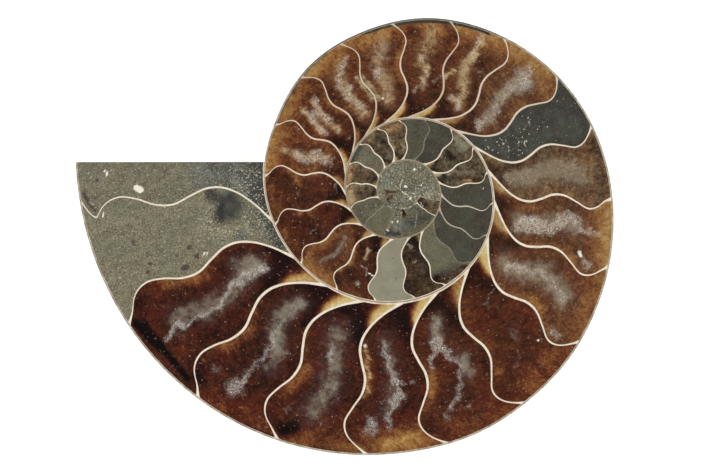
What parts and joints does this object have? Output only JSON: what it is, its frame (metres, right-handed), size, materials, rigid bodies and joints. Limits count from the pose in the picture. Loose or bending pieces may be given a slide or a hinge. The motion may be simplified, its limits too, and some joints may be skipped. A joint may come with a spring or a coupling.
{
  "type": "ammonite fossil half",
  "caption": "Half of a fossil ammonite, sawn through its coil and polished flat to show the chambered spiral, with a rounded shell back and a sawn-off mouth.",
  "frame": {"origin": "middle of the footprint's box, on the surface that the rounded back rests on", "axes": "+Z out of the polished face, +X along the sawn mouth from its outer edge towards the coil, +Y towards the side that the mouth faces"},
  "size_m": [0.1002, 0.0814, 0.012],
  "materials": {
    "fossil_stone": "polished calcite and hardened mud between cream shell walls, with worn brown shell on the back"
  },
  "bodies": {
    "root": {"ammonite_half": "fossil_stone"}
  },
  "joints": []
}
